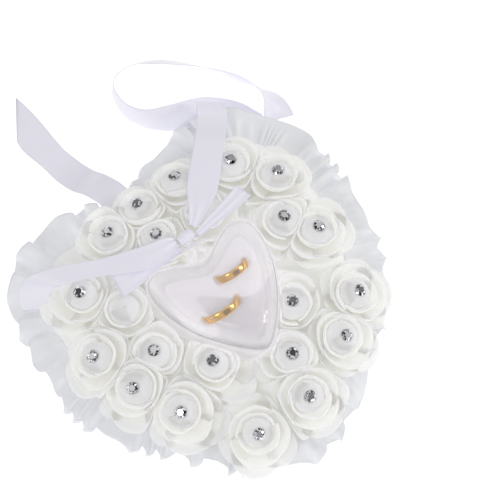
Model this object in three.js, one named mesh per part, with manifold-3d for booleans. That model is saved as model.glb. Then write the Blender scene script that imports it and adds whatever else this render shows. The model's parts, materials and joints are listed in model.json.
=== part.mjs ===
// Heart-shaped ring bearer pillow: a foam cushion on a stiff back, a gathered ruffle, foam roses
// with rhinestones, a clear hinged ring box with a slit pad and two wedding bands, and a ribbon bow.
// Millimetres, +Z up. The origin is on the flat underside, +Y points at the heart's cleft and
// -Y at its tip.
import * as THREE from 'three';
import Module from 'manifold-3d';
import { mergeVertices } from 'three/addons/utils/BufferGeometryUtils.js';

const wasm = await Module();
wasm.setup();

// ---- driving dimensions ----
const GAP = 0.3; // between pieces that touch

const cushion = {
  width: 150, length: 143, y: -1.5, bottom: 3.3, top: 22.6, seam: 8,
  cover: 0.8, full: 2.4, lobes: 0.56, rounding: 0.13,
};
const back = { share: 0.93, wall: 0.8, floor: 0.6, height: 3.0 };
const ruffle = { reach: 13.5, rise: 4.2, sway: 2.2, folds: 31, thick: 1.2, sewn: 2.4 };

const box = {
  width: 63, length: 63, y: -8, wall: 1.4, flange: 1.5, rim: 1.2, draft: 3.2,
  baseHeight: 17.1, lidHeight: 16, full: 2.2, lobes: 1.0, rounding: 0.13,
};
const hinge = { pin: 0.8, outer: 1.9, play: 0.3, length: 11, middle: 4.6, behind: 1.1 };
const pad = { inset: 4.4, bottomInset: 6.6, underRim: 0.6, crownHeight: 4.9 };

const bandWidth = 4;
const bandWall = 1.5;
const lean = 32; // how far the bands lean towards the tip, degrees
const ringSink = 3.8; // how far a band's middle lies under the pad's top
const rings = [
  { name: 'ring_large', x: -6.5, y: -8.3, outer: 21.5 },
  { name: 'ring_small', x: 9, y: 4.8, outer: 19 },
];

const rose = { radius: 13, height: 14.5, tilt: 26, least: 7.5 };
const stone = { radius: 3, height: 2.9, sunk: 1.9 };
const ribbon = { width: 15, thick: 0.8 };

// The roses and the ribbon are placed for a cushion of this size; `spread` fits them to the
// sizes above.
const drawn = { width: 150, length: 143, top: 22.6, rose: 14.5, hingeY: 24.6 };

// where each rose stands; the ones without a stone lie under the bow
const roses = [
  { x: 46, y: 11.5 }, { x: 21, y: -23.5 }, { x: 8, y: -46 }, { x: -24.5, y: -27.5 },
  { x: -43.5, y: -7 }, { x: -43, y: 19, bare: true }, { x: -9, y: 40 },
  { x: 18.5, y: 37, bare: true }, { x: 41, y: 49 }, { x: 55.5, y: 31.5 }, { x: 15, y: 56 },
  { x: -6, y: 55 }, { x: -26, y: 52.5 }, { x: -53.5, y: 36.5 }, { x: -63.5, y: 8 },
  { x: -57, y: -14 }, { x: -46, y: -34.5 }, { x: -24, y: -62 }, { x: 3, y: -62.5 },
  { x: 32.5, y: -48.5 }, { x: 50, y: -35 }, { x: 54, y: -2 },
];

// ---- helpers ----
const rad = THREE.MathUtils.degToRad;
const heartSteps = 40;

// A heart of a given width and length about (0, y), grown outward by `grow`. `full` rounds its
// flanks, `lobes` is how far the lobes rise past the cleft and `rounding` softens cleft and tip.
function heart(shape, grow = 0, share = 1, steps = heartSteps) {
  const curve = (t) => {
    const power = 2 / shape.full;
    const x = Math.sign(Math.sin(t)) * Math.abs(Math.sin(t)) ** power;
    const c = Math.sign(Math.cos(t)) * Math.abs(Math.cos(t)) ** power;
    return [x, c + shape.lobes * Math.hypot(x, shape.rounding)];
  };
  let low = Infinity;
  let high = -Infinity;
  for (let i = 0; i < 720; i += 1) {
    const y = curve((i / 720) * 2 * Math.PI)[1];
    low = Math.min(low, y);
    high = Math.max(high, y);
  }
  const scale = shape.length / (high - low);
  const middle = (high + low) / 2;
  const at = (t) => {
    const [x, y] = curve(t);
    return new THREE.Vector2((x * shape.width) / 2, (y - middle) * scale);
  };
  // even steps along the outline
  const fine = [];
  for (let i = 0; i <= 1440; i += 1) fine.push(at((i / 1440) * 2 * Math.PI));
  const run = [0];
  for (let i = 1; i < fine.length; i += 1) run.push(run[i - 1] + fine[i].distanceTo(fine[i - 1]));
  const points = [];
  for (let k = 0, i = 1; k < steps; k += 1) {
    const want = (run[1440] * k) / steps;
    while (run[i] < want) i += 1;
    const f = (want - run[i - 1]) / (run[i] - run[i - 1]);
    points.push(fine[i - 1].clone().lerp(fine[i], f));
  }
  return points.map((p, k) => {
    const before = points[(k + steps - 1) % steps];
    const after = points[(k + 1) % steps];
    const along = after.clone().sub(before).normalize();
    const out = new THREE.Vector2(-along.y, along.x);
    return p.clone().addScaledVector(out, grow).multiplyScalar(share).add(new THREE.Vector2(0, shape.y));
  });
}

const ringAt = (points, z) => points.map((p) => new THREE.Vector3(p.x, p.y, z));

// A closed body through rings of equal count; `loop` joins the last ring to the first instead of
// capping both ends.
function loft(stack, loop = false) {
  const n = stack[0].length;
  const positions = stack.flat().flatMap((p) => [p.x, p.y, p.z]);
  const index = [];
  const bands = loop ? stack.length : stack.length - 1;
  for (let k = 0; k < bands; k += 1) {
    const a = k * n;
    const b = ((k + 1) % stack.length) * n;
    for (let i = 0; i < n; i += 1) {
      const j = (i + 1) % n;
      index.push(a + i, b + i, a + j, a + j, b + i, b + j);
    }
  }
  if (!loop) {
    const flat = (r) => {
      const centre = r.reduce((s, p) => s.add(p), new THREE.Vector3()).divideScalar(n);
      const u = r[0].clone().sub(centre).normalize();
      const normal = new THREE.Vector3();
      r.forEach((p, i) => normal.add(p.clone().sub(centre).cross(r[(i + 1) % n].clone().sub(centre))));
      const v = normal.normalize().clone().cross(u);
      return r.map((p) => new THREE.Vector2(p.clone().sub(centre).dot(u), p.clone().sub(centre).dot(v)));
    };
    const last = (stack.length - 1) * n;
    THREE.ShapeUtils.triangulateShape(flat(stack[0]), [])
      .forEach(([a, b, c]) => index.push(a, b, c));
    THREE.ShapeUtils.triangulateShape(flat(stack[stack.length - 1]), [])
      .forEach(([a, b, c]) => index.push(last + a, last + c, last + b));
  }
  const geometry = new THREE.BufferGeometry();
  geometry.setAttribute('position', new THREE.Float32BufferAttribute(positions, 3));
  geometry.setIndex(index);
  return facingOut(geometry);
}

function facingOut(geometry) {
  const p = geometry.attributes.position;
  const index = geometry.index.array;
  const v = (i) => new THREE.Vector3().fromBufferAttribute(p, index[i]);
  let volume = 0;
  for (let i = 0; i < index.length; i += 3) volume += v(i).dot(v(i + 1).cross(v(i + 2)));
  if (volume < 0) {
    const turned = Array.from(index);
    for (let i = 0; i < turned.length; i += 3) {
      [turned[i + 1], turned[i + 2]] = [turned[i + 2], turned[i + 1]];
    }
    geometry.setIndex(turned);
  }
  return geometry;
}

function solid(geometry) {
  const bare = geometry.index ? geometry.clone() : geometry;
  bare.deleteAttribute('normal');
  bare.deleteAttribute('uv');
  const merged = mergeVertices(bare, 1e-4);
  return new wasm.Manifold(new wasm.Mesh({
    numProp: 3,
    vertProperties: new Float32Array(merged.attributes.position.array),
    triVerts: new Uint32Array(merged.index.array),
  }));
}

function fromSolid(body) {
  const mesh = body.getMesh();
  const geometry = new THREE.BufferGeometry();
  geometry.setAttribute('position', new THREE.Float32BufferAttribute(mesh.vertProperties, 3));
  geometry.setIndex(Array.from(mesh.triVerts));
  return geometry;
}

// a block from its two corners
function block(low, high) {
  const size = high.map((v, k) => v - low[k]);
  const middle = high.map((v, k) => (v + low[k]) / 2);
  return new THREE.BoxGeometry(...size).translate(...middle);
}

// a rod along X between two ends
function rod(radius, from, to, y, z, sides = 20) {
  return new THREE.CylinderGeometry(radius, radius, to - from, sides)
    .rotateZ(Math.PI / 2).translate((from + to) / 2, y, z);
}

const group = new THREE.Group();
function piece(name, geometry, color, roughness, metalness = 0) {
  const material = new THREE.MeshStandardMaterial({ color, roughness, metalness });
  const mesh = new THREE.Mesh(geometry, material);
  mesh.name = name;
  group.add(mesh);
  return mesh;
}

const white = { satin: '#eeeef4', ruffle: '#e9ecef', foam: '#f1f0e9', ribbon: '#e3e0f2', back: '#dedbee' };

// ---- back: a card with satin drawn over it ----
const coverOuter = (grow) => heart(cushion, grow, back.share);
piece('back_cover', loft([
  ringAt(coverOuter(0), 0), ringAt(coverOuter(0), back.height),
  ringAt(coverOuter(-back.wall), back.height), ringAt(coverOuter(-back.wall), back.floor),
]), white.back, 0.45);
piece('back_card', loft([
  ringAt(coverOuter(-back.wall - GAP), back.floor + GAP),
  ringAt(coverOuter(-back.wall - GAP), back.height - 0.1),
]), '#d8d2c4', 0.9);

// ---- cushion: foam core and satin cover over it ----
// share of the outline and share of the height, from the bottom edge up
const profile = [[0.94, 0], [0.985, 0.1], [1, 0.24], [0.985, 0.45], [0.92, 0.68], [0.81, 0.88], [0.66, 1]];
function cushionStack(inset) {
  const height = cushion.top - cushion.bottom;
  return profile.map(([share, up]) => ringAt(
    heart(cushion, -inset, share),
    cushion.bottom + up * height - inset * up,
  ));
}
piece('cushion_cover', loft([...cushionStack(0).reverse(), ...cushionStack(cushion.cover)]),
  white.satin, 0.5);
piece('cushion_core', loft(cushionStack(cushion.cover + GAP)), '#f4efdf', 0.95);

// height of the cover's top at a point, from how far out towards the outline it lies
const outline = heart(cushion);
function shareAt(x, y) {
  const p = new THREE.Vector2(x, y - cushion.y);
  for (let i = 0; i < outline.length; i += 1) {
    const a = outline[i].clone().setY(outline[i].y - cushion.y);
    const next = outline[(i + 1) % outline.length];
    const b = next.clone().setY(next.y - cushion.y);
    const whole = a.cross(b);
    if (a.cross(p) / whole >= 0 && p.cross(b) / whole >= 0) return (a.cross(p) + p.cross(b)) / whole;
  }
  return 0;
}
function coverTop(x, y) {
  const share = shareAt(x, y);
  const height = cushion.top - cushion.bottom;
  for (let k = profile.length - 1; k > 2; k -= 1) {
    const [near, high] = profile[k];
    const [far, low] = profile[k - 1];
    const up = high + ((low - high) * (share - near)) / (far - near);
    if (share <= near) return cushion.bottom + high * height;
    if (share <= far) return cushion.bottom + up * height;
  }
  return cushion.seam;
}

// ---- ruffle: a wavy frill all round, sewn to the cushion's side seam ----
{
  const steps = ruffle.folds * 4;
  const root = heart(cushion, 2 * GAP, 1, steps);
  const beyond = heart(cushion, ruffle.reach, 1, steps);
  const low = cushion.seam - ruffle.sewn / 2;
  const high = cushion.seam + ruffle.sewn / 2;
  const stations = root.map((inner, k) => {
    const wave = Math.sin((k / 4) * 2 * Math.PI);
    const slow = Math.sin((k / steps) * 2 * Math.PI * 7 + 1);
    const outer = beyond[k].clone();
    const out = outer.clone().sub(inner).normalize();
    outer.addScaledVector(out, ruffle.sway * slow);
    const hem = cushion.seam + ruffle.rise * wave * (0.8 + 0.2 * slow);
    const half = inner.clone().lerp(outer, 0.5);
    const bend = cushion.seam + 0.45 * (hem - cushion.seam) + 0.6;
    const at = (p, z) => new THREE.Vector3(p.x, p.y, z);
    return [
      at(inner, low), at(half, bend - ruffle.thick / 2), at(outer, hem - ruffle.thick / 2),
      at(outer, hem + ruffle.thick / 2), at(half, bend + ruffle.thick / 2), at(inner, high),
    ];
  });
  piece('ruffle', loft(stations, true), white.ruffle, 0.5);
}

// ---- ring box: clear tray and domed lid, hinged behind the cleft ----
const trayBottom = cushion.top + GAP;
const split = trayBottom + box.baseHeight;
const cleftY = heart(box)[0].y;
const hingeY = box.y + box.length / 2 + hinge.behind;
const half = hinge.length / 2;
const middleHalf = hinge.middle / 2;
const hole = solid(rod(hinge.pin + hinge.play, -half - 1, half + 1, hingeY, split));
const inset = (grow, share = 1) => heart(box, grow, share);
{
  const shell = solid(loft([
    ringAt(inset(-box.flange - box.draft), trayBottom),
    ringAt(inset(-box.flange), split - box.rim),
    ringAt(inset(0), split - box.rim),
    ringAt(inset(0), split - GAP / 2),
    ringAt(inset(-box.flange - box.wall), split - GAP / 2),
    ringAt(inset(-box.flange - box.draft - box.wall), trayBottom + box.wall),
  ]));
  const tab = solid(block([-half, cleftY - 1, split - box.rim], [half, hingeY, split - GAP / 2]));
  const notch = solid(block(
    [-middleHalf - hinge.play, hingeY - hinge.outer - hinge.play, split - 9],
    [middleHalf + hinge.play, hingeY + 9, split + 9],
  ));
  let body = shell.add(tab);
  body = body.add(solid(rod(hinge.outer, -half, half, hingeY, split)));
  piece('ring_box_base', fromSolid(body.subtract(notch).subtract(hole)), '#f4f4f6', 0.08);
}
const lidProfile = [[1, 0], [0.985, 0.36], [0.93, 0.64], [0.8, 0.86], [0.6, 0.965], [0.33, 1]];
{
  const dome = (grow, drop) => lidProfile.map(([share, up]) => ringAt(
    inset(grow, share),
    split + GAP / 2 + up * (box.lidHeight - GAP / 2 - drop),
  ));
  const outside = dome(-box.flange, 0);
  outside[0] = ringAt(inset(-box.flange), split + box.rim);
  const shell = solid(loft([
    ...dome(-box.flange - box.wall, box.wall).reverse(),
    ringAt(inset(0), split + GAP / 2),
    ringAt(inset(0), split + box.rim),
    ...outside,
  ]));
  const tab = solid(block(
    [-middleHalf, cleftY - 1, split + GAP / 2],
    [middleHalf, hingeY, split + box.rim],
  ));
  const knuckle = solid(rod(hinge.outer, -middleHalf, middleHalf, hingeY, split));
  piece('ring_box_lid', fromSolid(shell.add(tab).add(knuckle).subtract(hole)), '#f6f6f8', 0.06);
}
piece('hinge_pin', rod(hinge.pin, -half - 0.4, half + 0.4, hingeY, split, 12), '#e8e8ec', 0.2);

// ---- ring pad with a slit for each band, and the bands standing in the slits ----
const padCrown = split - pad.underRim;
const padShoulder = padCrown - pad.crownHeight;
const bandMiddle = padCrown - ringSink;
const leaning = (geometry, band) => geometry.rotateX(rad(lean)).translate(band.x, band.y, bandMiddle);
{
  let body = solid(loft([
    ringAt(inset(-pad.bottomInset), trayBottom + box.wall + GAP),
    ringAt(inset(-pad.inset), padShoulder),
    ringAt(inset(-pad.inset, 0.97), padShoulder + 0.56 * pad.crownHeight),
    ringAt(inset(-pad.inset, 0.9), padShoulder + 0.88 * pad.crownHeight),
    ringAt(inset(-pad.inset, 0.74), padCrown),
  ]));
  for (const band of rings) {
    const reach = band.outer / 2 + GAP;
    const slit = block([-reach, -bandWidth / 2 - GAP, -reach], [reach, bandWidth / 2 + GAP, reach]);
    body = body.subtract(solid(leaning(slit, band)));
  }
  piece('ring_pad', fromSolid(body), '#f0eff6', 0.5);
}
for (const band of rings) {
  const outer = band.outer / 2;
  const inner = outer - bandWall;
  const edge = bandWidth / 2;
  const section = [
    [inner, 0], [inner + 0.12, -edge + 0.6], [inner + 0.6, -edge], [outer - 0.6, -edge],
    [outer, 0], [outer - 0.6, edge], [inner + 0.6, edge], [inner + 0.12, edge - 0.6], [inner, 0],
  ].map(([r, y]) => new THREE.Vector2(r, y));
  piece(band.name, leaning(new THREE.LatheGeometry(section, 28), band), '#e0b04c', 0.18, 1);
}

// a point of the drawn layout moved to suit the cushion and the roses there are
function spread(x, y, z = 0) {
  return new THREE.Vector3(
    x * (cushion.width / drawn.width),
    cushion.y + (y - cushion.y) * (cushion.length / drawn.length),
    z < drawn.top ? z * (cushion.top / drawn.top)
      : cushion.top + (z - drawn.top) * (rose.height / drawn.rose),
  );
}

// ---- roses on the cushion, each with a stone in its heart ----
const wallOutline = inset(-box.flange);
const toBox = (p) => Math.min(...wallOutline.map((q) => p.distanceTo(q)));
const places = roses.map(({ x, y }) => {
  const p = spread(x, y);
  const here = new THREE.Vector2(p.x, p.y);
  const out = here.clone().setY(here.y - box.y).normalize();
  while (toBox(here) < rose.least) here.addScaledVector(out, 0.5);
  return here;
});
places.forEach((here, k) => {
  const nearest = Math.min(...places.filter((p) => p !== here).map((p) => here.distanceTo(p)));
  const R = Math.min(rose.radius, (nearest - GAP) / 2 - 0.1, toBox(here) - 2 * GAP);
  const H = rose.height;
  const cup = stone.radius + GAP;
  const bloom = new THREE.LatheGeometry([
    [0, 0], [0.45 * R, 0], [0.86 * R, 0.3 * H], [R, 0.62 * H], [0.88 * R, 0.9 * H],
    [0.6 * R, H], [cup, 0.93 * H], [cup, H - stone.sunk - GAP], [0, H - stone.sunk - GAP],
  ].map(([r, z]) => new THREE.Vector2(r, z)), 10).rotateX(Math.PI / 2);

  const away = here.clone().setY(here.y - cushion.y);
  const edge = THREE.MathUtils.smoothstep(shareAt(here.x, here.y), 0.55, 0.95);
  const turn = new THREE.Quaternion().setFromAxisAngle(
    new THREE.Vector3(-away.y, away.x, 0).normalize(),
    rad(rose.tilt) * edge,
  );
  // the lowest seat at which the whole underside clears the cover
  let seat = 0;
  const at = bloom.attributes.position;
  for (let i = 0; i < at.count; i += 1) {
    const p = new THREE.Vector3().fromBufferAttribute(at, i).applyQuaternion(turn);
    seat = Math.max(seat, coverTop(here.x + p.x, here.y + p.y) + GAP - p.z);
  }
  const stand = new THREE.Group();
  stand.position.set(here.x, here.y, seat);
  stand.quaternion.copy(turn);
  const name = String(k + 1).padStart(2, '0');
  stand.add(piece(`rose_${name}`, bloom, white.foam, 0.85));
  if (!roses[k].bare) {
    const gem = new THREE.LatheGeometry([
      [0, 0], [stone.radius, 1.5], [stone.radius, 1.9],
      [0.6 * stone.radius, stone.height], [0, stone.height],
    ].map(([r, z]) => new THREE.Vector2(r, z)), 8).rotateX(Math.PI / 2).translate(0, 0, H - stone.sunk);
    stand.add(piece(`rhinestone_${name}`, gem, '#dfe3e8', 0.05));
  }
  group.add(stand);
});

// ---- ribbon: one satin ribbon, seen as a knot, two long bands, two short ends and two tails ----
// Each station is a point of the middle line, the heading and the slope of the ribbon's width
// there in degrees, and that width.
function strip(name, stations, samples = 3) {
  const path = new THREE.CatmullRomCurve3(stations.map(([point]) => point));
  const widths = new THREE.CatmullRomCurve3(
    stations.map(([, heading, slope, width]) => new THREE.Vector3(heading, slope, width)),
  );
  const count = (stations.length - 1) * samples;
  const stack = [];
  for (let k = 0; k <= count; k += 1) {
    const middle = path.getPoint(k / count);
    const { x: heading, y: slope, z: width } = widths.getPoint(k / count);
    const side = new THREE.Vector3(
      Math.cos(rad(slope)) * Math.cos(rad(heading)),
      Math.cos(rad(slope)) * Math.sin(rad(heading)),
      Math.sin(rad(slope)),
    );
    const up = path.getTangent(k / count).cross(side).normalize().multiplyScalar(ribbon.thick / 2);
    side.multiplyScalar(width / 2);
    stack.push([[-1, -1], [1, -1], [1, 1], [-1, 1]]
      .map(([s, u]) => middle.clone().addScaledVector(side, s).addScaledVector(up, u)));
  }
  piece(name, loft(stack), white.ribbon, 0.4);
}

// The knot sits just behind the hinge. A band keeps its knot end beside it and spreads with the
// cushion towards its far end; a short end moves whole with the knot. Stations are x, y, z,
// heading, width.
const W = ribbon.width;
const knot = { x: 1.5, y: 31, z: 36, long: 5, deep: 3.2, tall: 2.6 };
const knotAt = spread(knot.x, knot.y, knot.z);
knotAt.y = hingeY + knot.y - drawn.hingeY;
const besideKnot = (x, y, z) => new THREE.Vector3(x - knot.x, y - knot.y, z - knot.z).add(knotAt);
function band(name, stations) {
  strip(name, stations.map(([x, y, z, heading, width], k) => [
    besideKnot(x, y, z).lerp(spread(x, y, z), k / (stations.length - 1)), heading, 0, width,
  ]));
}
function shortEnd(name, stations) {
  strip(name, stations.map(([x, y, z, heading, width]) => [besideKnot(x, y, z), heading, 0, width]));
}
piece('bow_knot', new THREE.SphereGeometry(1, 12, 8)
  .scale(knot.long, knot.deep, knot.tall).translate(...knotAt), white.ribbon, 0.4);
band('bow_loop_left', [
  [-4, 31.6, 37.4, 90, 5], [-9, 31.6, 39, 95, 9], [-20, 32.8, 39.3, 98, 13],
  [-34, 37.5, 39.4, 112, W], [-46, 43.5, 39.4, 118, W], [-57, 48.5, 39.2, 118, W],
  [-68.5, 53, 35.5, 125, W], [-74, 52, 26, 140, W], [-74.5, 48, 18, 150, W],
]);
band('bow_loop_right', [
  [7.2, 33, 37.8, 115, 4], [12.5, 36.8, 39.3, 130, 8], [22, 46, 39.3, 137, W],
  [32, 56.5, 39, 137, W], [42, 67, 37, 138, W], [49.5, 76, 30, 140, W],
  [54, 83, 21, 142, W], [58, 90, 13, 142, W],
]);
shortEnd('bow_end_left', [
  [-4, 28.2, 36.2, 80, 3.6], [-10, 28, 37.3, 88, 5], [-20, 27.8, 37.9, 90, 6],
  [-30, 27.8, 38, 95, 9], [-40, 29.2, 38.2, 80, 13],
]);
shortEnd('bow_end_right', [
  [7, 28.4, 36.9, 95, 3.2], [13, 29.2, 38.2, 92, 4.6], [23, 30.4, 38.9, 98, 6.5],
  [31, 31.8, 38.6, 105, 8], [38, 33.6, 38, 110, 9],
]);

// The left tail runs over the rim and lies flat; its far end is cut at a slant.
strip('ribbon_tail_left', [
  [-10, 70.5, 15.6, 5, W], [-11.5, 79, 15, 8, W], [-14, 88, 11, 10, W],
  [-16.5, 96, 4, 12, W], [-19, 106, 0, 13, W], [-21.5, 120, 0, 16, W],
  [-24, 144, 0, 57, 1.6 * W],
].map(([x, y, z, heading, width]) => {
  const point = spread(x, y, z);
  point.z = Math.max(point.z, ribbon.thick);
  return [point, heading, 0, width];
}));
// The right tail stands on its edge in a wide curl and tucks both ends under the ruffle: stations
// are x, y, heading, slope.
strip('ribbon_tail_right', [
  [73, 68, 45, 0], [68, 80, 60, 2], [56, 90, 70, 20], [40, 96, 70, 48], [28, 103, 50, 75],
  [22, 114, 5, 85], [24, 127, -40, 85], [36, 131.5, -88, 72], [50, 126, -120, 58],
  [66, 111, -138, 66], [79, 92, -155, 80], [86, 78, -170, 52], [84, 66, -200, 0],
].map(([x, y, heading, slope]) => {
  const point = spread(x, y);
  point.z = ribbon.thick + (W / 2) * Math.sin(rad(slope));
  return [point, heading, slope, W];
}));

export default group;
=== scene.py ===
# %% [markdown]
# # A heart-shaped ring pillow
# The real object is a small foam cushion under a satin cover, sewn round with a gathered frill
# and stuck all over with foam roses. A clear hinged box in the middle holds two wedding bands in
# a slit pad, and a satin ribbon is tied in a bow behind it. The CAD frame gives every size and
# place, and Blender gives the cloth, the petals, the stones and the finishes.

# %% Open the frame
import json
import math
import random

import bmesh
import bpy
import numpy as np
from mathutils import Matrix, Vector


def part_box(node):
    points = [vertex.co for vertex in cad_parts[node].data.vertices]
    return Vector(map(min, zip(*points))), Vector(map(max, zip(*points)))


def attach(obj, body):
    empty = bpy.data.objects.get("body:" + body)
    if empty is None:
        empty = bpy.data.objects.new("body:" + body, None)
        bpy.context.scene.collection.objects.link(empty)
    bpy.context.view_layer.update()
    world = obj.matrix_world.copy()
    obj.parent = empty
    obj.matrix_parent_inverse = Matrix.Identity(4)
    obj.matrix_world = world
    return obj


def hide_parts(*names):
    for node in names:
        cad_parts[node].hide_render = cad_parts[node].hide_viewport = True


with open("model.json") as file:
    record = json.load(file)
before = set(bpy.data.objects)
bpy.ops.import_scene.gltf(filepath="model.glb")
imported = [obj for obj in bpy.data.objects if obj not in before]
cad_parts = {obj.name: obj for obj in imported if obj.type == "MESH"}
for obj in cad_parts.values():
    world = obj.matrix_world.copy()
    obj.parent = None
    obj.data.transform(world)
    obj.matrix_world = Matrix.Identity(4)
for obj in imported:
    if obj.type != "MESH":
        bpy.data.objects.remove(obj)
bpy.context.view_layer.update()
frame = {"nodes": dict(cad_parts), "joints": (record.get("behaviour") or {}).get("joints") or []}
MM = 0.001

# %% [markdown]
# The camera comes first, because every choice of detail depends on what it sees. The pillow is
# looked down on steeply from the side of its tip, through a long lens that keeps the far tails
# the size of the near ones.

# %% Camera
view_turn, view_rise = math.radians(-36), math.radians(70)
towards_camera = Vector((
    math.sin(view_turn) * math.cos(view_rise),
    -math.cos(view_turn) * math.cos(view_rise),
    math.sin(view_rise),
))
aim = Vector((24.1, 9.2, 30)) * MM
seen_width = 242.5 * MM
camera_distance = 1.3
lens = bpy.data.cameras.new("camera")
lens.sensor_width = 36
lens.lens = lens.sensor_width * camera_distance / seen_width
lens.clip_end = 20
camera = bpy.data.objects.new("camera", lens)
camera.location = aim + towards_camera * camera_distance
camera.rotation_euler = towards_camera.to_track_quat("Z", "Y").to_euler()
bpy.context.scene.collection.objects.link(camera)
bpy.context.scene.camera = camera
print("lens", round(lens.lens), "mm at", camera_distance, "m")

# %% [markdown]
# White cloth on a white floor shows its folds only by soft shade, so most of the light is a bright
# even surround, with a soft box high on the right and one on the left. A smaller, stronger one low
# on the right puts the highlights on the lid. Polished gold and cut stones need something dark to
# mirror: the surround is darker near the horizon, and a dark card that only mirrors can see stands
# on the side of the tip.

# %% Light and floor
def soft_box(name, place, size, power, tint=(1, 1, 1)):
    light = bpy.data.lights.new(name, "AREA")
    light.shape = "RECTANGLE"
    light.size, light.size_y = size
    light.energy = power
    light.color = tint
    lamp = bpy.data.objects.new(name, light)
    lamp.location = place
    lamp.rotation_euler = (Vector(place) - aim).to_track_quat("Z", "Y").to_euler()
    bpy.context.scene.collection.objects.link(lamp)
    return lamp


soft_box("window", (0.62, 0.10, 1.05), (0.30, 0.55), 0.8, (1.0, 0.99, 0.97))
soft_box("side", (0.85, -0.48, 0.52), (0.16, 0.40), 1.7, (1.0, 0.99, 0.98))
soft_box("fill", (-0.75, -0.35, 0.95), (0.35, 0.35), 2.2, (0.98, 0.985, 1.0))

world = bpy.data.worlds.new("surround")
bpy.context.scene.world = world
world.use_nodes = True
sky = world.node_tree
sky.nodes.clear()
ray = sky.nodes.new("ShaderNodeTexCoord")
height = sky.nodes.new("ShaderNodeSeparateXYZ")
band = sky.nodes.new("ShaderNodeValToRGB")
band.color_ramp.elements[0].position = 0.02
band.color_ramp.elements[0].color = (0.55, 0.55, 0.55, 1)
band.color_ramp.elements[1].position = 0.45
band.color_ramp.elements[1].color = (1.0, 1.0, 1.0, 1)
glow = sky.nodes.new("ShaderNodeBackground")
glow.inputs["Strength"].default_value = 0.56
sky_out = sky.nodes.new("ShaderNodeOutputWorld")
sky.links.new(ray.outputs["Generated"], height.inputs[0])
sky.links.new(height.outputs["Z"], band.inputs["Fac"])
sky.links.new(band.outputs["Color"], glow.inputs["Color"])
sky.links.new(glow.outputs[0], sky_out.inputs[0])
bpy.context.scene.view_settings.view_transform = "Standard"


def start_finish(name, color, roughness):
    """A new material, its node tree and its Principled shader."""
    material = bpy.data.materials.new(name)
    material["slot"] = name
    material.use_nodes = True
    tree = material.node_tree
    shader = tree.nodes["Principled BSDF"]
    shader.inputs["Base Color"].default_value = (*color, 1)
    shader.inputs["Roughness"].default_value = roughness
    return material, tree, shader


def add(tree, kind, **settings):
    """A new node; each setting is one of its properties, or else one of its inputs."""
    node = tree.nodes.new(kind)
    for key, value in settings.items():
        if hasattr(node, key):
            setattr(node, key, value)
        else:
            node.inputs[key.replace("_", " ")].default_value = value
    return node


def stage_sheet(name, half_side, place, material):
    """A square sheet of the stage, from half its side and its place."""
    bm = bmesh.new()
    bmesh.ops.create_grid(bm, x_segments=1, y_segments=1, size=half_side)
    bmesh.ops.transform(bm, verts=bm.verts, matrix=place)
    mesh = bpy.data.meshes.new(name)
    bm.to_mesh(mesh)
    bm.free()
    mesh.materials.append(material)
    sheet = bpy.data.objects.new(name, mesh)
    bpy.context.scene.collection.objects.link(sheet)
    return sheet


floor_finish, _, floor_shader = start_finish("floor", (0.93, 0.93, 0.935), 0.9)
floor_shader.inputs["Specular IOR Level"].default_value = 0.1
floor_shader.inputs["Emission Color"].default_value = (1, 1, 1, 1)
floor_shader.inputs["Emission Strength"].default_value = 0.46
stage_sheet("floor", 4, Matrix.Translation((0, 0, -0.2 * MM)), floor_finish)

card_side = Vector((0.2, -0.72, 0.66)).normalized()
card_distance = 0.9
dark_card = stage_sheet(
    "dark_card", 0.30,
    Matrix.Translation(aim + card_side * card_distance)
    @ card_side.to_track_quat("Z", "Y").to_matrix().to_4x4(),
    start_finish("dark_card", (0.015, 0.013, 0.012), 1.0)[0],
)
dark_card.visible_camera = False
dark_card.visible_diffuse = False
dark_card.visible_shadow = False
dark_card.visible_transmission = False

# %% [markdown]
# ## Finishes
# Satin is a weave whose long floats lie side by side, so it is smooth with a soft sheen and a
# faint fine grain. Two crossed waves make the grain and a large slow noise varies the colour, as
# cloth does where it was pressed and handled. A weak painted glow, emission in the cloth's own
# colour, lightens the shade in its folds and stands for the light that thin white cloth lets
# through. One function makes every satin here.

# %% Satin, in several tints
def texture(tree, kind, **settings):
    """A texture node that reads where a point lies on its object."""
    node = add(tree, kind, **settings)
    where = add(tree, "ShaderNodeTexCoord")
    tree.links.new(where.outputs["Object"], node.inputs["Vector"])
    return node


def add_bump(tree, shader, height, strength, distance):
    bump = add(tree, "ShaderNodeBump", Strength=strength, Distance=distance)
    tree.links.new(height, bump.inputs["Height"])
    tree.links.new(bump.outputs[0], shader.inputs["Normal"])


def blend_colors(tree, share, first, second):
    """A mix of two colours by a 0 to 1 socket; returns the colour output."""
    mix = add(tree, "ShaderNodeMix", data_type="RGBA")
    tree.links.new(share, mix.inputs[0])
    mix.inputs[6].default_value = (*first, 1)
    mix.inputs[7].default_value = (*second, 1)
    return mix.outputs[2]


def satin(name, color, shade, thread=0.45 * MM, roughness=0.42, grain=0.12, glow=0.10):
    material, tree, shader = start_finish(name, color, roughness)
    slow = texture(tree, "ShaderNodeTexNoise", Scale=55.0, Detail=3.0)
    tree.links.new(blend_colors(tree, slow.outputs[0], color, shade), shader.inputs["Base Color"])
    both = add(tree, "ShaderNodeMath", operation="MULTIPLY")
    for k, (direction, density) in enumerate((("X", 0.314), ("Y", 0.209))):
        wave = texture(tree, "ShaderNodeTexWave", bands_direction=direction,
                       Scale=density / thread, Distortion=0.4)
        tree.links.new(wave.outputs["Fac"], both.inputs[k])
    add_bump(tree, shader, both.outputs[0], grain, 0.15 * MM)
    shader.inputs["Sheen Weight"].default_value = 0.25
    shader.inputs["Sheen Roughness"].default_value = 0.4
    shader.inputs["Specular IOR Level"].default_value = 0.55
    # Painted glow: emission in the satin's own colour lightens its shade everywhere.
    shader.inputs["Emission Color"].default_value = (*color, 1)
    shader.inputs["Emission Strength"].default_value = glow
    return material


# The cover, seen only in the gaps between the roses, and the pad inside the box get a stronger
# painted glow that lightens their shade.
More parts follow.
